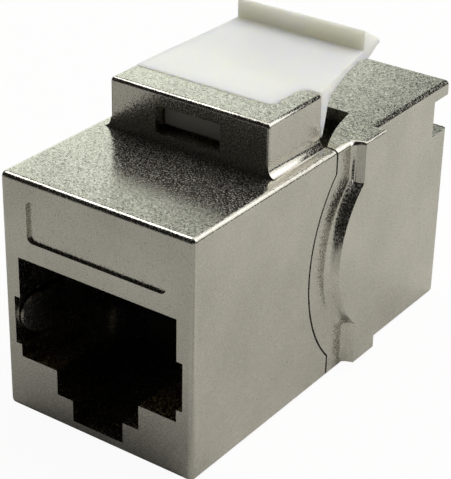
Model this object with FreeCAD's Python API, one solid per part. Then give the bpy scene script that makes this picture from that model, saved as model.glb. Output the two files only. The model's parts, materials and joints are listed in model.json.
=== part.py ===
# Keystone coupler: two eight-way modular jacks back to back in a die-cast shell with a moulded latch.
# Millimetres, X to the right, Z up. Y is measured back from the front face while a piece is drawn,
# and each piece moves forward by half the length when it is written, so the origin is bottom centre.
import FreeCAD
import Part
import math
import os

Vector = FreeCAD.Vector

# Shell
body_width = 14.5
body_height = 16.48
body_length = 29.15
upright_edge_radius = 0.36
bottom_edge_radius = 0.35
top_edge_radius = 0.34

# Parting line between the two shells: straight at top and bottom, bowed forward on the sides
seam_gap = 0.17
seam_y = 14.7
seam_bow_front = 12.07
seam_bow_low = 1.63
seam_bow_high = 14.88

# Port, the same at both ends: plug space, side slots, stepped tab channel, chamber above
port_half_width = 6.03
port_low = 3.94
port_high = 11.0
slot_half_width = 6.48
slot_low = 4.8
slot_high = 8.15
slot_depth = 9.2
tab_half_width = 3.2
tab_low = 2.19
key_half_width = 1.97
key_low = 0.71
catch_wall = 1.4
chamber_start = 3.1
chamber_high = 14.0

# Recessed panel above the front port
panel_half_width = 5.24
panel_low = 12.28
panel_high = 15.07
panel_depth = 0.22
panel_corner_radius = 0.4

# Latch block on the front shell, its pocket open to the left, the rear and the top
block_half_width = 6.0
block_front = 8.98
block_rear = 14.58
block_top = 19.92
block_upright_radius = 0.2
block_top_radius = 0.27
block_foot_width = 0.55
block_foot_height = 0.7
pocket_front = 11.31
pocket_right = 4.6
pocket_floor = 16.85
pocket_corner_radius = 0.7
rim_end_radius = 0.5
window_half_width = 2.44
window_low = 17.11
window_high = 18.97

# Grip pads on the sides of the rear shell: bands that bow forward, with a soft foot in front
pad_height = 0.8
pad_draft = 0.3
pad_front = 16.91
pad_bow_front = 14.45
pad_bow_low = 3.36
pad_bow_high = 13.66
pad_rear = 19.45
pad_rear_bow_front = 17.0
pad_rear_bow_low = 4.62
pad_rear_bow_high = 12.38
pad_foot_radius = 0.6
pad_top_radius = 0.22

# Relief under the lever, and the notch across the rear end
relief_front_half_width = 6.5
relief_middle = (5.45, 17.24)
relief_rear_half_width = 4.75
relief_rear = 20.14
relief_floor = 14.95
notch_front = 27.08
notch_low = 12.95
notch_high = 15.51

# Latch lever: root in the pocket, leg behind the block, plate and lip above the rear shell
lever_clearance = 0.14
lever_root_front = pocket_front + lever_clearance
lever_root_low = 17.6
lever_root_top = 19.95
lever_shoulder = 14.8
lever_half_width = 5.85
lever_waist = (5.29, 17.9)
plate_middle = (18.0, 20.26)
lip_half_width = 4.93
lip_front = 21.17
lip_base = 20.5
lip_top = 21.88
lip_tip = (23.16, 20.63)
lip_tip_radius = 0.18
lip_heel = (21.83, 19.79)
plate_underside_rear = (20.45, 19.95)
plate_underside_middle = (18.1, 19.57)
plate_underside_front = (16.4, 19.13)
leg_bend_middle = (16.05, 18.72)
leg_bend_low = (15.85, 18.22)
leg_foot_rear = 15.3
leg_front = 15.05
leg_low = 16.85
nose_half_width = 2.32
nose_tip = 9.78
nose_low = 17.3
nose_high = 18.72
nose_heel = 10.8
nose_corner_radius = 0.2

# Contacts, contact blocks and circuit board
contact_count = 8
contact_pitch = 1.02
contact_width = 0.45
contact_thickness = 0.3
contact_run_z = 12.45
contact_bend_y = 4.3
contact_bend_radius = 0.6
contact_angle = 36.0
contact_free_length = 5.2
insert_face = 9.2
insert_comb_low = 12.1
groove_width = 0.6
groove_low = 11.8
board_thickness = 1.6
board_height = 10.0
board_margin = 0.05

# Shield springs in the side slots
spring_thickness = 0.2
spring_low = 5.05
spring_high = 7.85
spring_root = 7.5
spring_bow = (5.65, 3.95)
spring_nose = 0.4
spring_nose_x = 6.2

half_width = body_width / 2
middle = body_length / 2
board_front = middle - board_thickness / 2
board_rear = middle + board_thickness / 2
contact_run_high = contact_run_z + contact_thickness / 2
beyond = 5.0
tiny = 0.01
bulge = 1 - math.sqrt(0.5)


def box(x_range, y_range, z_range):
    low = Vector(x_range[0], y_range[0], z_range[0])
    size = Vector(x_range[1], y_range[1], z_range[1]) - low
    return Part.makeBox(size.x, size.y, size.z, low)


def wide_box(half, y_range, z_range):
    return box((-half, half), y_range, z_range)


def on_side(x):
    return lambda point: Vector(x, point[0], point[1])


def on_plan(z):
    return lambda point: Vector(point[0], point[1], z)


def on_end(y):
    return lambda point: Vector(point[0], y, point[1])


def outline(place, start, steps):
    # A step of one point is a line to it, a step of two points is an arc through the first.
    edges = []
    here = start
    for step in steps + [[start]]:
        if len(step) == 2:
            edges.append(Part.Arc(place(here), place(step[0]), place(step[1])).toShape())
        elif math.dist(here, step[0]) > tiny:
            edges.append(Part.LineSegment(place(here), place(step[0])).toShape())
        here = step[-1]
    return Part.Wire(edges)


def rounded_rectangle(place, low, high, radii):
    # One radius for each corner, counter-clockwise from the low one; zero leaves it sharp.
    corners = [low, (high[0], low[1]), high, (low[0], high[1])]
    runs = [(1, 0), (0, 1), (-1, 0), (0, -1)]
    steps = []
    for index, corner in enumerate(corners):
        came = runs[index - 1]
        goes = runs[index]
        radius = radii[index]
        before = (corner[0] - radius * came[0], corner[1] - radius * came[1])
        after = (corner[0] + radius * goes[0], corner[1] + radius * goes[1])
        peak = tuple(corner[axis] + radius * bulge * (goes[axis] - came[axis]) for axis in (0, 1))
        steps.append([before])
        if radius:
            steps.append([peak, after])
    return outline(place, steps[-1][-1], steps)


def prism(wire, direction):
    return Part.Face(wire).extrude(direction)


def rounded(shape, radius, chosen):
    return shape.makeFillet(radius, [edge for edge in shape.Edges if chosen(edge.BoundBox)])


def mirror_left(shape):
    return shape.mirror(Vector(0, 0, 0), Vector(1, 0, 0))


def mirror_rear(shape):
    return shape.mirror(Vector(0, middle, 0), Vector(0, 1, 0))


def outer_body():
    plan = rounded_rectangle(
        on_plan(0), (-half_width, 0), (half_width, body_length), [upright_edge_radius] * 4)
    block = prism(plan, Vector(0, 0, body_height))
    block = rounded(block, bottom_edge_radius, lambda b: b.ZMax < tiny)
    return rounded(block, top_edge_radius, lambda b: b.ZMin > body_height - tiny)


def jack_cavity():
    # Plug space, side slots, tab channel with the catch behind its front wall, and contact chamber.
    plug = wide_box(port_half_width, (-beyond, middle), (port_low, port_high))
    chamber = wide_box(port_half_width, (chamber_start, middle), (port_low, chamber_high))
    slots = wide_box(slot_half_width, (-beyond, slot_depth), (slot_low, slot_high))
    tab = wide_box(tab_half_width, (-beyond, middle), (tab_low, port_low))
    key = wide_box(key_half_width, (-beyond, middle), (key_low, tab_low))
    catch = wide_box(tab_half_width, (catch_wall, middle), (key_low, tab_low))
    return plug.multiFuse([chamber, slots, tab, key, catch]).removeSplitter()


def ahead_of_seam(gap):
    # All the space ahead of the parting line; the gap moves the line back.
    straight = seam_y + gap
    bow_peak = (seam_bow_front + gap, (seam_bow_low + seam_bow_high) / 2)
    front = -beyond
    low = -beyond
    high = block_top + beyond
    line = outline(on_side(-body_width), (front, low), [
        [(straight, low)],
        [(straight, seam_bow_low)],
        [bow_peak, (straight, seam_bow_high)],
        [(straight, high)],
        [(front, high)],
    ])
    return prism(line, Vector(2 * body_width, 0, 0))


def latch_block():
    root_z = (chamber_high + body_height) / 2
    plan = rounded_rectangle(
        on_plan(root_z), (-block_half_width, block_front), (block_half_width, block_rear),
        [block_upright_radius, block_upright_radius, 0, 0])
    block = prism(plan, Vector(0, 0, block_top - root_z))
    block = rounded(block, block_top_radius,
                    lambda b: b.ZMin > block_top - tiny and b.YMin < block_rear - tiny)
    foot_x = block_half_width + block_foot_width
    foot_z = body_height + block_foot_height
    hollow = (block_half_width + block_foot_width * bulge, body_height + block_foot_height * bulge)
    foot_line = outline(on_end(block_front), (0, root_z), [
        [(foot_x, root_z)],
        [(foot_x, body_height)],
        [hollow, (block_half_width, foot_z)],
        [(0, foot_z)],
    ])
    foot = prism(foot_line, Vector(0, block_rear - block_front, 0))
    rim_end = block_rear - rim_end_radius
    pocket_line = outline(on_plan(pocket_floor), (-body_width, pocket_front), [
        [(pocket_right - pocket_corner_radius, pocket_front)],
        [(pocket_right - pocket_corner_radius * bulge, pocket_front + pocket_corner_radius * bulge),
         (pocket_right, pocket_front + pocket_corner_radius)],
        [(pocket_right, rim_end)],
        [(pocket_right + rim_end_radius * bulge, block_rear - rim_end_radius * bulge),
         (pocket_right + rim_end_radius, block_rear)],
        [(pocket_right + rim_end_radius, body_length)],
        [(-body_width, body_length)],
    ])
    pocket = prism(pocket_line, Vector(0, 0, body_height))
    window = wide_box(window_half_width, (0, pocket_front + tiny), (window_low, window_high))
    return block.multiFuse([foot, mirror_left(foot)]).cut(pocket).cut(window)


def front_housing(hollow_body):
    panel_line = rounded_rectangle(
        on_end(-beyond), (-panel_half_width, panel_low), (panel_half_width, panel_high),
        [panel_corner_radius] * 4)
    panel = prism(panel_line, Vector(0, beyond + panel_depth, 0))
    shell = hollow_body.common(ahead_of_seam(0)).cut(panel)
    return shell.fuse(latch_block()).removeSplitter()


def pad_section(x, forward):
    front = pad_front - forward
    front_peak = (pad_bow_front - forward, (pad_bow_low + pad_bow_high) / 2)
    rear_peak = (pad_rear_bow_front, (pad_rear_bow_low + pad_rear_bow_high) / 2)
    return outline(on_side(x), (front, bottom_edge_radius), [
        [(front, pad_bow_low)],
        [front_peak, (front, pad_bow_high)],
        [(front, body_height)],
        [(pad_rear, body_height)],
        [(pad_rear, pad_rear_bow_high)],
        [rear_peak, (pad_rear, pad_rear_bow_low)],
        [(pad_rear, bottom_edge_radius)],
    ])


def grip_pad():
    # Right-hand pad: the front leans back as it rises from the side, and the top edges are round.
    proud = half_width + pad_height
    rooted = half_width - pad_height
    pad = Part.makeLoft([pad_section(rooted, 2 * pad_draft), pad_section(proud, 0)], True, True)
    return rounded(pad, pad_top_radius, lambda b: b.ZMin > body_height - tiny)


def lever_relief():
    front = seam_y
    line = outline(on_plan(relief_floor), (-relief_front_half_width, front), [
        [(relief_front_half_width, front)],
        [relief_middle, (relief_rear_half_width, relief_rear)],
        [(-relief_rear_half_width, relief_rear)],
        [(-relief_middle[0], relief_middle[1]), (-relief_front_half_width, front)],
    ])
    return prism(line, Vector(0, 0, body_height))


def rear_housing(hollow_body):
    shell = hollow_body.cut(ahead_of_seam(seam_gap))
    pad = grip_pad()
    padded = shell.multiFuse([pad, mirror_left(pad)]).removeSplitter()
    foot_y = pad_front - pad_draft
    padded = rounded(padded, pad_foot_radius, lambda b: (
        b.XLength < tiny and abs(abs(b.XMin) - half_width) < tiny and abs(b.YMax - foot_y) < tiny))
    notch = wide_box(body_width, (notch_front, body_length + beyond), (notch_low, notch_high))
    return padded.cut(lever_relief()).cut(notch).removeSplitter()


def latch_lever():
    # The side view crossed with the plan, with the nose that shows in the block's window.
    side_view = outline(on_side(-body_width), (lever_root_front, lever_root_low), [
        [(lever_root_front, lever_root_top)],
        [(lever_shoulder, lever_root_top)],
        [plate_middle, (lip_front, lip_base)],
        [(lip_front, lip_top)],
        [(lip_tip[0] - lip_tip_radius, lip_tip[1] + lip_tip_radius)],
        [lip_tip, (lip_tip[0] - lip_tip_radius, lip_tip[1] - lip_tip_radius)],
        [lip_heel],
        [plate_underside_rear],
        [plate_underside_middle, plate_underside_front],
        [leg_bend_middle, leg_bend_low],
        [(leg_foot_rear, leg_low)],
        [(leg_front, leg_low)],
        [(leg_front, lever_root_low)],
    ])
    root_right = pocket_right - lever_clearance
    corner = pocket_corner_radius - lever_clearance
    crook = rim_end_radius + lever_clearance
    plan = outline(on_plan(0), (-lever_half_width, lever_root_front), [
        [(root_right - corner, lever_root_front)],
        [(root_right - corner * bulge, lever_root_front + corner * bulge),
         (root_right, lever_root_front + corner)],
        [(root_right, lever_shoulder - crook)],
        [(root_right + crook * bulge, lever_shoulder - crook * bulge),
         (root_right + crook, lever_shoulder)],
        [(lever_half_width, lever_shoulder)],
        [lever_waist, (lip_half_width, lip_front)],
        [(lip_half_width, body_length)],
        [(-lip_half_width, body_length)],
        [(-lip_half_width, lip_front)],
        [(-lever_waist[0], lever_waist[1]), (-lever_half_width, lever_shoulder)],
    ])
    lever = prism(side_view, Vector(2 * body_width, 0, 0)).common(prism(plan, Vector(0, 0, body_length)))
    nose_root = lever_root_front + nose_half_width / 2
    nose_line = outline(on_side(-nose_half_width), (nose_root, lever_root_low), [
        [(nose_heel, nose_low)],
        [(nose_tip + nose_corner_radius, nose_low)],
        [(nose_tip, nose_low + nose_corner_radius)],
        [(nose_tip, nose_high - nose_corner_radius)],
        [(nose_tip + nose_corner_radius, nose_high)],
        [(nose_root, nose_high)],
    ])
    return lever.fuse(prism(nose_line, Vector(2 * nose_half_width, 0, 0))).removeSplitter()


def contact_x(number):
    return (number - (contact_count + 1) / 2) * contact_pitch


def contact_block():
    # L-shaped insert: comb over the plug space and wall behind it, with a keel in the tab channel.
    section = outline(on_side(-port_half_width), (chamber_start, chamber_high), [
        [(board_front, chamber_high)],
        [(board_front, port_low)],
        [(insert_face, port_low)],
        [(insert_face, insert_comb_low)],
        [(chamber_start, insert_comb_low)],
    ])
    block = prism(section, Vector(2 * port_half_width, 0, 0))
    keel = wide_box(tab_half_width, (insert_face, board_front), (key_low, port_low))
    block = block.fuse(keel).removeSplitter()
    for number in range(1, contact_count + 1):
        sides = (contact_x(number) - groove_width / 2, contact_x(number) + groove_width / 2)
        block = block.cut(box(sides, (chamber_start, board_front), (groove_low, contact_run_high)))
    return block


def contact_face(offset):
    # Points along one face of the bent strip: board end, bend, free end.
    radius = contact_bend_radius + offset
    tilt = math.radians(contact_angle)
    centre_z = contact_run_z - contact_bend_radius
    bend_start = (contact_bend_y, centre_z + radius)
    bend_peak = (contact_bend_y - radius * math.cos(tilt / 2), centre_z + radius * math.sin(tilt / 2))
    bend_end = (contact_bend_y - radius * math.sin(tilt), centre_z - radius * math.cos(tilt))
    free_end = (bend_end[0] + contact_free_length * math.cos(tilt),
                bend_end[1] - contact_free_length * math.sin(tilt))
    return (board_front, centre_z + radius), bend_start, bend_peak, bend_end, free_end


def contact(number):
    outer = contact_face(contact_thickness / 2)
    inner = contact_face(-contact_thickness / 2)
    strip = outline(on_side(contact_x(number) - contact_width / 2), outer[0], [
        [outer[1]],
        [outer[2], outer[3]],
        [outer[4]],
        [inner[4]],
        [inner[3]],
        [inner[2], inner[1]],
        [inner[0]],
    ])
    return prism(strip, Vector(contact_width, 0, 0))


def shield_spring():
    # Right-hand spring: root flat in the slot, then bowed towards the plug, with a round nose.
    wall = slot_half_width
    strip = outline(on_plan(spring_low), (wall, slot_depth), [
        [(wall, spring_root)],
        [(spring_bow[0] + spring_thickness, spring_bow[1]), (spring_nose_x + spring_thickness, spring_nose)],
        [(spring_nose_x, spring_nose)],
        [spring_bow, (wall - spring_thickness, spring_root)],
        [(wall - spring_thickness, slot_depth)],
    ])
    height = spring_high - spring_low
    nose_radius = height / 2
    side_view = rounded_rectangle(
        on_side(0), (spring_nose, spring_low), (slot_depth, spring_high),
        [nose_radius - tiny, 0, 0, nose_radius - tiny])
    return prism(strip, Vector(0, 0, height)).common(prism(side_view, Vector(body_width, 0, 0)))


def circuit_board():
    return wide_box(port_half_width - board_margin, (board_front, board_rear),
                    (port_low, port_low + board_height))


def write(name, shape):
    placed = shape.copy()
    placed.translate(Vector(0, -middle, 0))
    placed.exportStep(os.path.join("parts", name + ".step"))


def write_jack(end, place):
    write(end + "_contact_block", place(contact_block()))
    for number in range(1, contact_count + 1):
        write(end + "_contact_" + str(number), place(contact(number)))
    spring = place(shield_spring())
    write(end + "_shield_spring_right", spring)
    write(end + "_shield_spring_left", mirror_left(spring))


os.makedirs("parts", exist_ok=True)
front_cavity = jack_cavity()
hollow_body = outer_body().cut(front_cavity).cut(mirror_rear(front_cavity))
write("front_housing", front_housing(hollow_body))
write("rear_housing", rear_housing(hollow_body))
write("latch_lever", latch_lever())
write("circuit_board", circuit_board())
write_jack("front", lambda shape: shape)
write_jack("rear", mirror_rear)
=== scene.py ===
# Keystone coupler: nickel-plated castings, white latch lever, black inserts and gold contacts.
import json
import math

import bpy
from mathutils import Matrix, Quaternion, Vector


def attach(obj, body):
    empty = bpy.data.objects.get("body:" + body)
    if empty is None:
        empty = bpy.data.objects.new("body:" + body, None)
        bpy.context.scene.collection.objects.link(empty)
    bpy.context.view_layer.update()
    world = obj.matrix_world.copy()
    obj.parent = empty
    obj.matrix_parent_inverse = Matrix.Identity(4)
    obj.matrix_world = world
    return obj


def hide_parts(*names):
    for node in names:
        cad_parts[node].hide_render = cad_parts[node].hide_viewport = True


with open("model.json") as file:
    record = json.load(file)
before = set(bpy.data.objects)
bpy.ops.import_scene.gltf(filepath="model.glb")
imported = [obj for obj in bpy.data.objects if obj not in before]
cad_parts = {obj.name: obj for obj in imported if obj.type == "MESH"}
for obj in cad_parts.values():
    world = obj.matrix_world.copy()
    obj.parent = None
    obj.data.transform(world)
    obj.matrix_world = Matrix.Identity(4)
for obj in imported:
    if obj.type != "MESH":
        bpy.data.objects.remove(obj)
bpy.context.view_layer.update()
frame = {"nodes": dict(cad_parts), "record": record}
nodes = frame["nodes"]
mm = 0.001
print("frame loaded,", len(nodes), "nodes")


def deselectAll():
    bpy.ops.object.select_all(action="DESELECT")


def makeActive(piece):
    deselectAll()
    piece.select_set(True)
    bpy.context.view_layer.objects.active = piece


# camera: place and angles of the photograph, long lens
photoCamera = {
    "place": (55.096 * mm, -79.795 * mm, 59.985 * mm),
    "azimuth": 35.064,              # degrees from the front, positive to the right
    "elevation": 28.201,
    "roll": 1.231,
    "lens": 125.243,
    "sensor": 36.0,                 # along the longer side of the picture
    "clip": (0.005, 50.0),
}


def addCamera(setup):
    data = bpy.data.cameras.new("photoCamera")
    data.lens = setup["lens"]
    data.sensor_width = setup["sensor"]
    data.sensor_fit = "AUTO"
    data.clip_start = setup["clip"][0]
    data.clip_end = setup["clip"][1]
    camera = bpy.data.objects.new("photoCamera", data)
    bpy.context.scene.collection.objects.link(camera)
    camera.location = setup["place"]
    camera.rotation_mode = "QUATERNION"
    turn = Quaternion((0, 0, 1), math.radians(setup["azimuth"]))
    tilt = Quaternion((1, 0, 0), math.radians(90 - setup["elevation"]))
    roll = Quaternion((0, 0, 1), math.radians(setup["roll"]))
    camera.rotation_quaternion = turn @ tilt @ roll
    bpy.context.scene.camera = camera


addCamera(photoCamera)
print("camera placed")

# node helpers: nodes stand in a row, in the order in which they are made
nodeStep = 220


def addNode(tree, kind, **settings):
    node = tree.nodes.new(kind)
    node.location = (nodeStep * len(tree.nodes), 0)
    for name, value in settings.items():
        setattr(node, name, value)
    return node


def addMath(tree, operation, **settings):
    return addNode(tree, "ShaderNodeMath", operation=operation, **settings)


def addVectorMath(tree, operation):
    return addNode(tree, "ShaderNodeVectorMath", operation=operation)


def addMix(tree, kind):
    return addNode(tree, "ShaderNodeMix", data_type=kind)


def addRange(tree, limits, **settings):
    node = addNode(tree, "ShaderNodeMapRange", **settings)
    node.inputs["From Min"].default_value = limits[0]
    node.inputs["From Max"].default_value = limits[1]
    return node


def emptyTree(owner):
    owner.use_nodes = True
    owner.node_tree.nodes.clear()
    return owner.node_tree


# share of plain white in what a ray meets: one for the camera, one for glossy pieces
def whiteShare(tree, setup):
    path = addNode(tree, "ShaderNodeLightPath")
    shine = addMath(tree, "ADD")
    shineShare = addMath(tree, "MULTIPLY")
    shineShare.inputs[1].default_value = setup["shineWhite"]
    share = addMath(tree, "MULTIPLY_ADD")
    share.inputs[1].default_value = setup["cameraWhite"]
    link = tree.links.new
    link(path.outputs["Is Glossy Ray"], shine.inputs[0])
    link(path.outputs["Is Transmission Ray"], shine.inputs[1])
    link(shine.outputs["Value"], shineShare.inputs[0])
    link(path.outputs["Is Camera Ray"], share.inputs[0])
    link(shineShare.outputs["Value"], share.inputs[2])
    return share.outputs["Value"]


# room: dark, with a pale wall at the back left for the metal to show, and white for the camera
room = {
    "darkColour": (0.010, 0.010, 0.009, 1),
    "wallColour": (1.72, 1.84, 1.66, 1),
    "wallAzimuth": -45.5,           # degrees from the back, positive to the right
    "wallElevation": 7.0,
    "wallEdge": (26.0, 15.0),       # degrees from its middle where it starts and is full
    "seenColour": (1, 1, 1, 1),
    "cameraWhite": 1.0,
    "shineWhite": 0.008,
}


def addWorld(setup):
    world = bpy.data.worlds.new("studioWorld")
    bpy.context.scene.world = world
    tree = emptyTree(world)
    azimuth = math.radians(setup["wallAzimuth"])
    elevation = math.radians(setup["wallElevation"])
    level = math.cos(elevation)
    wall = (math.sin(azimuth) * level, math.cos(azimuth) * level, math.sin(elevation))
    wallLimits = [math.cos(math.radians(angle)) for angle in setup["wallEdge"]]
    coords = addNode(tree, "ShaderNodeTexCoord")
    facing = addVectorMath(tree, "DOT_PRODUCT")
    facing.inputs[1].default_value = wall
    wallShare = addRange(tree, wallLimits, interpolation_type="SMOOTHSTEP")
    lit = addMix(tree, "RGBA")
    lit.inputs["A"].default_value = setup["darkColour"]
    lit.inputs["B"].default_value = setup["wallColour"]
    seen = addMix(tree, "RGBA")
    seen.inputs["B"].default_value = setup["seenColour"]
    background = addNode(tree, "ShaderNodeBackground")
    out = addNode(tree, "ShaderNodeOutputWorld")
    link = tree.links.new
    link(coords.outputs["Generated"], facing.inputs[0])
    link(facing.outputs["Value"], wallShare.inputs["Value"])
    link(wallShare.outputs["Result"], lit.inputs["Factor"])
    link(whiteShare(tree, setup), seen.inputs["Factor"])
    link(lit.outputs["Result"], seen.inputs["A"])
    link(seen.outputs["Result"], background.inputs["Color"])
    link(background.outputs["Background"], out.inputs["Surface"])


# floor: pale paper, graduated from front to back; painted shade darkens it in front of the object and
# painted light brightens it beside the object's front half, for the metal to reflect
floorPaper = {
    "size": 20.0,
    "colour": (0.81, 0.795, 0.765),
    "fadeDirection": (0.30, 0.954, 0),
    "paintedShadeAndLight": [                       # distance along it, share of the colour: painted shade below 1, painted light above 1
        (-150 * mm, 0.2),
        (-38 * mm, 0.86),
        (-24 * mm, 0.84),
        (-15 * mm, 0.67),
        (-7 * mm, 1.17),
        (-2 * mm, 1.15),
        (8 * mm, 1.0),
    ],
    "cameraWhite": 0.95,
    "shineWhite": 0.04,
}


def addFloor(setup):
    deselectAll()
    bpy.ops.mesh.primitive_plane_add(size=setup["size"], location=(0, 0, 0))
    floor = bpy.context.object
    floor.name = "studioFloor"
    paper = bpy.data.materials.new("floorPaper")
    tree = emptyTree(paper)
    front = setup["paintedShadeAndLight"][0][0]
    back = setup["paintedShadeAndLight"][-1][0]
    coords = addNode(tree, "ShaderNodeTexCoord")
    along = addVectorMath(tree, "DOT_PRODUCT")
    along.inputs[1].default_value = setup["fadeDirection"]
    paintedShadeAndLight = addRange(tree, (front, back))
    colour = addNode(tree, "ShaderNodeValToRGB")
    stops = colour.color_ramp.elements
    while len(stops) < len(setup["paintedShadeAndLight"]):
        stops.new(0.5)              # moved to its place below
    for stop, (distance, share) in zip(stops, setup["paintedShadeAndLight"]):
        stop.position = (distance - front) / (back - front)
        stop.color = (*[part * share for part in setup["colour"]], 1)
    matt = addNode(tree, "ShaderNodeBsdfDiffuse")
    white = addNode(tree, "ShaderNodeEmission")
    mix = addNode(tree, "ShaderNodeMixShader")
    out = addNode(tree, "ShaderNodeOutputMaterial")
    link = tree.links.new
    link(coords.outputs["Object"], along.inputs[0])
    link(along.outputs["Value"], paintedShadeAndLight.inputs["Value"])
    link(paintedShadeAndLight.outputs["Result"], colour.inputs["Fac"])
    link(colour.outputs["Color"], matt.inputs["Color"])
    link(whiteShare(tree, setup), mix.inputs["Fac"])
    link(matt.outputs["BSDF"], mix.inputs[1])
    link(white.outputs["Emission"], mix.inputs[2])
    link(mix.outputs["Shader"], out.inputs["Surface"])
    floor.data.materials.append(paper)


# each lamp: where it hangs, the point that it faces, its size and its power
lampTint = (1.0, 1.0, 0.98)
softboxes = {
    "overhead": {
        "place": (0.10, 0.193, 0.35),
        "aim": (0.10, 0.193, 0.0),
        "width": 0.70,
        "depth": 0.44,
        "power": 1.3,
        "colour": lampTint,
    },
    "right": {
        "place": (0.395, 0.287, 0.382),
        "aim": (0.0, 0.0, 0.0),
        "width": 0.70,
        "depth": 0.60,
        "power": 1.95,
        "colour": lampTint,
    },
    "left": {
        "place": (-0.28, 0.045, 0.405),
        "aim": (0.0, 0.0, 0.02),
        "width": 0.25,
        "depth": 0.13,
        "power": 0.48,
        "colour": lampTint,
    },
}


def addSoftbox(name, setup):
    data = bpy.data.lights.new(name + "Softbox", "AREA")
    data.shape = "ELLIPSE"
    data.size = setup["width"]
    data.size_y = setup["depth"]
    data.energy = setup["power"]
    data.color = setup["colour"]
    lamp = bpy.data.objects.new(name + "Softbox", data)
    bpy.context.scene.collection.objects.link(lamp)
    lamp.location = setup["place"]
    facing = Vector(setup["aim"]) - Vector(setup["place"])
    lamp.rotation_mode = "QUATERNION"
    lamp.rotation_quaternion = facing.to_track_quat("-Z", "Y")


addWorld(room)
addFloor(floorPaper)
for lampName, lampSetup in softboxes.items():
    addSoftbox(lampName, lampSetup)
bpy.context.scene.view_settings.view_transform = "Standard"
print("studio lit")

# grain that all finishes share: fine height, tone in specks and patches, tilted crystal facets
grainPattern = {
    "speckDetail": 2.0,
    "speckRoughness": 0.6,
    "patchDetail": 3.0,
    "noiseMiddle": (0.3, 0.7),              # this part of the noise is stretched over the whole tone
    "crystalMiddle": (0.5, 0.5, 0.5),       # mean of the crystals' random colours
    "upwardFrom": (0.3, 0.9),               # upward part of the normal on a side and on a top
    "flatFrom": (0.90, 0.99),               # largest part of the normal on an edge and on a flat face
}
grainInputs = {                             # the group's inputs and their names in a finish
    "Grain Size": "grainSize",
    "Patch Size": "patchSize",
    "Speck Share": "speckShare",
    "Top Tilt": "topTilt",
    "Side Tilt": "sideTilt",
    "Edge Tilt": "edgeTilt",
}


# tone: patches mixed with specks
def grainTone(group, setup, inside, speck, patch):
    speckTone = addRange(group, setup["noiseMiddle"])
    patchTone = addRange(group, setup["noiseMiddle"])
    tone = addMix(group, "FLOAT")
    link = group.links.new
    link(speck.outputs["Fac"], speckTone.inputs["Value"])
    link(patch.outputs["Fac"], patchTone.inputs["Value"])
    link(inside.outputs["Speck Share"], tone.inputs["Factor"])
    link(patchTone.outputs["Result"], tone.inputs["A"])
    link(speckTone.outputs["Result"], tone.inputs["B"])
    return tone.outputs["Result"]


# how far the crystals tilt: tops, sides and rounded edges each have their own value
def grainTilt(group, setup, inside, normal):
    upward = addNode(group, "ShaderNodeSeparateXYZ")
    faceTilt = addRange(group, setup["upwardFrom"])
    extent = addVectorMath(group, "ABSOLUTE")
    extents = addNode(group, "ShaderNodeSeparateXYZ")
    wider = addMath(group, "MAXIMUM")
    widest = addMath(group, "MAXIMUM")
    flatShare = addRange(group, setup["flatFrom"])
    tilt = addMix(group, "FLOAT")
    link = group.links.new
    link(normal, upward.inputs["Vector"])
    link(upward.outputs["Z"], faceTilt.inputs["Value"])
    link(inside.outputs["Side Tilt"], faceTilt.inputs["To Min"])
    link(inside.outputs["Top Tilt"], faceTilt.inputs["To Max"])
    link(normal, extent.inputs[0])
    link(extent.outputs["Vector"], extents.inputs["Vector"])
    link(extents.outputs["X"], wider.inputs[0])
    link(extents.outputs["Y"], wider.inputs[1])
    link(wider.outputs["Value"], widest.inputs[0])
    link(extents.outputs["Z"], widest.inputs[1])
    link(widest.outputs["Value"], flatShare.inputs["Value"])
    link(flatShare.outputs["Result"], tilt.inputs["Factor"])
    link(inside.outputs["Edge Tilt"], tilt.inputs["A"])
    link(faceTilt.outputs["Result"], tilt.inputs["B"])
    return tilt.outputs["Result"]


# facet: the surface's normal, leaned by each crystal's own random colour
def grainFacet(group, setup, inside, crystal):
    normal = addNode(group, "ShaderNodeNewGeometry").outputs["Normal"]
    lean = addVectorMath(group, "SUBTRACT")
    lean.inputs[1].default_value = setup["crystalMiddle"]
    leanHere = addVectorMath(group, "SCALE")
    turned = addVectorMath(group, "ADD")
    facet = addVectorMath(group, "NORMALIZE")
    link = group.links.new
    link(crystal.outputs["Color"], lean.inputs[0])
    link(lean.outputs["Vector"], leanHere.inputs[0])
    link(grainTilt(group, setup, inside, normal), leanHere.inputs["Scale"])
    link(normal, turned.inputs[0])
    link(leanHere.outputs["Vector"], turned.inputs[1])
    link(turned.outputs["Vector"], facet.inputs[0])
    return facet.outputs["Vector"]


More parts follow.
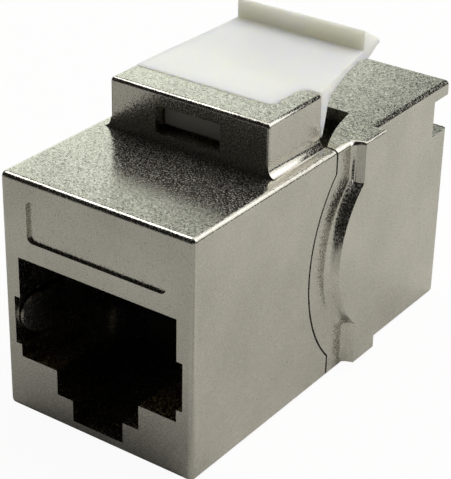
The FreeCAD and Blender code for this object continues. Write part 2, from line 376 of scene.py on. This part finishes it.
def makeGrainGroup(setup):
    group = bpy.data.node_groups.new("surfaceGrain", "ShaderNodeTree")
    sockets = group.interface
    for name in grainInputs:
        sockets.new_socket(name=name, in_out="INPUT", socket_type="NodeSocketFloat")
    for name in ("Height", "Tone"):
        sockets.new_socket(name=name, in_out="OUTPUT", socket_type="NodeSocketFloat")
    sockets.new_socket(name="Facet", in_out="OUTPUT", socket_type="NodeSocketVector")
    inside = addNode(group, "NodeGroupInput")
    coords = addNode(group, "ShaderNodeTexCoord")
    grainScale = addMath(group, "DIVIDE")
    patchScale = addMath(group, "DIVIDE")
    for scale in (grainScale, patchScale):
        scale.inputs[0].default_value = 1.0         # one over the size
    speck = addNode(group, "ShaderNodeTexNoise")
    speck.inputs["Detail"].default_value = setup["speckDetail"]
    speck.inputs["Roughness"].default_value = setup["speckRoughness"]
    patch = addNode(group, "ShaderNodeTexNoise")
    patch.inputs["Detail"].default_value = setup["patchDetail"]
    crystal = addNode(group, "ShaderNodeTexVoronoi", feature="F1")
    link = group.links.new
    link(inside.outputs["Grain Size"], grainScale.inputs[1])
    link(inside.outputs["Patch Size"], patchScale.inputs[1])
    for texture, scale in [(speck, grainScale), (crystal, grainScale), (patch, patchScale)]:
        link(coords.outputs["Object"], texture.inputs["Vector"])
        link(scale.outputs["Value"], texture.inputs["Scale"])
    tone = grainTone(group, setup, inside, speck, patch)
    facet = grainFacet(group, setup, inside, crystal)
    out = addNode(group, "NodeGroupOutput")
    link(speck.outputs["Fac"], out.inputs["Height"])
    link(tone, out.inputs["Tone"])
    link(facet, out.inputs["Facet"])
    return group


grainGroup = makeGrainGroup(grainPattern)


# share that is 0 at a box's sides and rises to 1 over the width of its edge, inwards
def boxShare(tree, box):
    coords = addNode(tree, "ShaderNodeTexCoord")
    offset = addVectorMath(tree, "SUBTRACT")
    offset.inputs[1].default_value = box["middle"]
    reach = addVectorMath(tree, "ABSOLUTE")
    inward = addVectorMath(tree, "SUBTRACT")
    inward.inputs[0].default_value = box["half"]
    faded = addVectorMath(tree, "DIVIDE")
    faded.inputs[1].default_value = box["edge"]
    sides = addNode(tree, "ShaderNodeSeparateXYZ")
    least = addMath(tree, "MINIMUM")
    share = addMath(tree, "MINIMUM", use_clamp=True)
    link = tree.links.new
    link(coords.outputs["Object"], offset.inputs[0])
    link(offset.outputs["Vector"], reach.inputs[0])
    link(reach.outputs["Vector"], inward.inputs[1])
    link(inward.outputs["Vector"], faded.inputs[0])
    link(faded.outputs["Vector"], sides.inputs["Vector"])
    link(sides.outputs["X"], least.inputs[0])
    link(sides.outputs["Y"], least.inputs[1])
    link(least.outputs["Value"], share.inputs[0])
    link(sides.outputs["Z"], share.inputs[1])
    return share.outputs["Value"]


def grainMaterial(setup):
    material = bpy.data.materials.new(setup["name"])
    tree = emptyTree(material)
    link = tree.links.new
    grain = addNode(tree, "ShaderNodeGroup", node_tree=grainGroup)
    for socket, key in grainInputs.items():
        grain.inputs[socket].default_value = setup[key]
    colour = addMix(tree, "RGBA")
    colour.inputs["A"].default_value = (*setup["darkColour"], 1)
    colour.inputs["B"].default_value = (*setup["paleColour"], 1)
    baseColour = colour.outputs["Result"]
    if "paintedShade" in setup:           # painted shade: a darker colour inside a box
        paintedShadeMix = addMix(tree, "RGBA")
        paintedShadeMix.inputs["B"].default_value = (*setup["paintedShade"]["colour"], 1)
        link(boxShare(tree, setup["paintedShade"]), paintedShadeMix.inputs["Factor"])
        link(baseColour, paintedShadeMix.inputs["A"])
        baseColour = paintedShadeMix.outputs["Result"]
    rough = addRange(tree, setup["roughFrom"])
    rough.inputs["To Min"].default_value = setup["roughness"][0]
    rough.inputs["To Max"].default_value = setup["roughness"][1]
    bump = addNode(tree, "ShaderNodeBump")
    bump.inputs["Strength"].default_value = setup["bumpStrength"]
    bump.inputs["Distance"].default_value = setup["bumpDepth"]
    shader = addNode(tree, "ShaderNodeBsdfPrincipled")
    shader.inputs["Metallic"].default_value = setup["metallic"]
    if "glow" in setup:             # light spreads inside the moulding
        shader.inputs["Subsurface Weight"].default_value = setup["glow"]
        shader.inputs["Subsurface Radius"].default_value = setup["glowRadius"]
        shader.inputs["Subsurface Scale"].default_value = setup["glowDepth"]
    out = addNode(tree, "ShaderNodeOutputMaterial")
    link(grain.outputs["Tone"], colour.inputs["Factor"])
    link(grain.outputs["Height"], rough.inputs["Value"])
    link(grain.outputs["Height"], bump.inputs["Height"])
    link(grain.outputs["Facet"], bump.inputs["Normal"])
    link(baseColour, shader.inputs["Base Color"])
    link(rough.outputs["Result"], shader.inputs["Roughness"])
    link(bump.outputs["Normal"], shader.inputs["Normal"])
    link(shader.outputs["BSDF"], out.inputs["Surface"])
    return material


nickelFinish = {
    "name": "satinNickel",
    "darkColour": (0.40, 0.385, 0.34),
    "paleColour": (0.55, 0.53, 0.475),
    "paintedShade": {                     # painted shade darkens the relief under the lever
        "middle": (0, 2.9 * mm, 15.0 * mm),
        "half": (6.7 * mm, 2.8 * mm, 1.25 * mm),
        "edge": (0.1 * mm, 0.1 * mm, 0.7 * mm),
        "colour": (0.09, 0.088, 0.08),
    },
    "roughness": (0.15, 0.48),
    "roughFrom": (0.48, 0.66),      # only the high grains are rough
    "metallic": 1.0,
    "grainSize": 0.10 * mm,
    "patchSize": 4 * mm,
    "speckShare": 0.6,
    "topTilt": 0.075,
    "sideTilt": 0.06,
    "edgeTilt": 0.045,
    "bumpStrength": 0.2,
    "bumpDepth": 0.01 * mm,
}
whiteFinish = {
    "name": "whiteMoulding",
    "darkColour": (0.87, 0.87, 0.82),
    "paleColour": (0.91, 0.91, 0.87),
    "paintedShade": {                     # painted shade greys the lever's nose in the block's window
        "middle": (0, -4.8 * mm, 18.0 * mm),
        "half": (2.6 * mm, 1.1 * mm, 1.2 * mm),
        "edge": (0.2 * mm, 0.3 * mm, 0.2 * mm),
        "colour": (0.48, 0.47, 0.44),
    },
    "roughness": (0.38, 0.55),
    "roughFrom": (0.0, 1.0),
    "metallic": 0.0,
    "grainSize": 0.12 * mm,
    "patchSize": 4 * mm,
    "speckShare": 0.3,
    "topTilt": 0.0,
    "sideTilt": 0.0,
    "edgeTilt": 0.0,
    "bumpStrength": 0.08,
    "bumpDepth": 0.01 * mm,
    "glow": 0.9,
    "glowRadius": (1.0, 0.95, 0.65),
    "glowDepth": 1.7 * mm,
}
blackFinish = {
    "name": "blackMoulding",
    "darkColour": (0.010, 0.010, 0.011),
    "paleColour": (0.020, 0.020, 0.021),
    "roughness": (0.4, 0.6),
    "roughFrom": (0.0, 1.0),
    "metallic": 0.0,
    "grainSize": 0.15 * mm,
    "patchSize": 3 * mm,
    "speckShare": 0.4,
    "topTilt": 0.0,
    "sideTilt": 0.0,
    "edgeTilt": 0.0,
    "bumpStrength": 0.1,
    "bumpDepth": 0.01 * mm,
}
goldFinish = {
    "name": "goldContact",
    "darkColour": (0.60, 0.42, 0.15),
    "paleColour": (0.78, 0.58, 0.25),
    "roughness": (0.2, 0.32),
    "roughFrom": (0.0, 1.0),
    "metallic": 1.0,
    "grainSize": 0.08 * mm,
    "patchSize": 2 * mm,
    "speckShare": 0.3,
    "topTilt": 0.02,
    "sideTilt": 0.02,
    "edgeTilt": 0.0,
    "bumpStrength": 0.05,
    "bumpDepth": 0.005 * mm,
}
springFinish = {
    "name": "springSteel",
    "darkColour": (0.40, 0.39, 0.36),
    "paleColour": (0.50, 0.49, 0.45),
    "roughness": (0.22, 0.34),
    "roughFrom": (0.0, 1.0),
    "metallic": 1.0,
    "grainSize": 0.1 * mm,
    "patchSize": 2 * mm,
    "speckShare": 0.3,
    "topTilt": 0.02,
    "sideTilt": 0.02,
    "edgeTilt": 0.0,
    "bumpStrength": 0.08,
    "bumpDepth": 0.005 * mm,
}
boardFinish = {
    "name": "boardResist",
    "darkColour": (0.012, 0.07, 0.03),
    "paleColour": (0.02, 0.10, 0.045),
    "roughness": (0.35, 0.5),
    "roughFrom": (0.0, 1.0),
    "metallic": 0.0,
    "grainSize": 0.2 * mm,
    "patchSize": 1.5 * mm,
    "speckShare": 0.2,
    "topTilt": 0.0,
    "sideTilt": 0.0,
    "edgeTilt": 0.0,
    "bumpStrength": 0.06,
    "bumpDepth": 0.01 * mm,
}
finishes = {                        # by the record's material slots
    "nickel": grainMaterial(nickelFinish),
    "white_plastic": grainMaterial(whiteFinish),
    "black_plastic": grainMaterial(blackFinish),
    "gold": grainMaterial(goldFinish),
    "spring_steel": grainMaterial(springFinish),
    "board": grainMaterial(boardFinish),
}
print("finishes made")


def dress(piece, material):
    piece.data.materials.clear()
    piece.data.materials.append(material)


# castings and lever: the CAD shape with its sharp edges broken
softEdges = {
    "front_housing": {"body": "coupler", "slot": "nickel", "edge": 0.07 * mm},
    "rear_housing": {"body": "coupler", "slot": "nickel", "edge": 0.07 * mm},
    "latch_lever": {"body": "latch", "slot": "white_plastic", "edge": 0.10 * mm},
}
edgeBreak = {
    "merge": 0.0005 * mm,           # corners of the loose triangles that are closer than this become one
    "levelAngle": 0.5,              # degrees: faces that are level to within this are joined
    "sharpAngle": 40,               # edges that turn by more than this are broken
    "segments": 2,
    "smoothAngle": 35,
    "faceWeight": 100,              # large faces shade flat up to their edges
}


def breakEdges(nodeName, setup, shared):
    source = nodes[nodeName]
    piece = source.copy()
    piece.data = source.data.copy()
    piece.name = nodeName + ".soft"
    piece.parent = None
    bpy.context.scene.collection.objects.link(piece)
    makeActive(piece)
    bpy.ops.object.mode_set(mode="EDIT")
    bpy.ops.mesh.select_all(action="SELECT")
    bpy.ops.mesh.remove_doubles(threshold=shared["merge"])
    bpy.ops.mesh.dissolve_limited(angle_limit=math.radians(shared["levelAngle"]))
    bpy.ops.object.mode_set(mode="OBJECT")
    edge = piece.modifiers.new("brokenEdge", "BEVEL")
    edge.width = setup["edge"]
    edge.segments = shared["segments"]
    edge.limit_method = "ANGLE"
    edge.angle_limit = math.radians(shared["sharpAngle"])
    edge.miter_outer = "MITER_ARC"
    bpy.ops.object.modifier_apply(modifier=edge.name)
    bpy.ops.object.shade_smooth_by_angle(angle=math.radians(shared["smoothAngle"]))
    flat = piece.modifiers.new("flatFaces", "WEIGHTED_NORMAL")
    flat.keep_sharp = True
    flat.weight = shared["faceWeight"]
    bpy.ops.object.modifier_apply(modifier=flat.name)
    dress(piece, finishes[setup["slot"]])
    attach(piece, setup["body"])
    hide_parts(nodeName)


for softName, softSetup in softEdges.items():
    breakEdges(softName, softSetup, edgeBreak)
print("castings and lever softened")

# thin black lips inside the seam's side walls: no light passes through the joint, and their black is
# painted shade in the seam
seamShadeLip = {
    "body": "coupler",
    "slot": "black_plastic",
    "inner": 6.55 * mm,             # from the middle plane
    "width": 0.45 * mm,
    "thickness": 0.15 * mm,
    "middle": 0.21 * mm,            # middle of the seam where it runs straight
    "bow": 2.63 * mm,               # how far it bows forward between these two heights
    "bowLow": 1.63 * mm,
    "bowHigh": 14.88 * mm,
    "bowSteps": 24,
    "low": 0.06 * mm,               # ends of the lip
    "high": 16.42 * mm,
}


def seamPath(setup):
    rise = (setup["bowHigh"] - setup["bowLow"]) / 2
    radius = (rise ** 2 + setup["bow"] ** 2) / (2 * setup["bow"])
    heights = [setup["low"]]
    for step in range(setup["bowSteps"] + 1):
        heights.append(setup["bowLow"] + 2 * rise * step / setup["bowSteps"])
    heights.append(setup["high"])
    path = []
    for height in heights:
        offCentre = min(abs(height - setup["bowLow"] - rise), rise)
        sag = math.sqrt(radius ** 2 - offCentre ** 2) - (radius - setup["bow"])
        path.append(Vector((0, setup["middle"] - sag, height)))
    return path


def addSeamShadeLip(name, side, setup):
    path = seamPath(setup)
    place = Vector((side * (setup["inner"] + setup["width"] / 2), 0, 0)) + path[0]
    deselectAll()
    bpy.ops.mesh.primitive_plane_add(size=1, location=place)
    lip = bpy.context.object
    lip.name = name
    lip.scale = (setup["width"], setup["thickness"], 1)
    bpy.ops.object.transform_apply(location=True, rotation=True, scale=True)
    bpy.ops.object.mode_set(mode="EDIT")
    bpy.ops.mesh.select_all(action="SELECT")
    for before, after in zip(path, path[1:]):
        bpy.ops.mesh.extrude_region_move(TRANSFORM_OT_translate={"value": after - before})
    bpy.ops.mesh.select_all(action="SELECT")
    bpy.ops.mesh.normals_make_consistent(inside=False)
    bpy.ops.object.mode_set(mode="OBJECT")
    dress(lip, finishes[setup["slot"]])
    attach(lip, setup["body"])


addSeamShadeLip("seamShadeLipRight", 1, seamShadeLip)
addSeamShadeLip("seamShadeLipLeft", -1, seamShadeLip)
print("seam lips added")

# every other piece keeps its CAD mesh and gets its finish
for entry in frame["record"]["subparts"]:
    if entry["node"] not in softEdges:
        dress(nodes[entry["node"]], finishes[entry["material_slot"]])
print("inner pieces dressed")
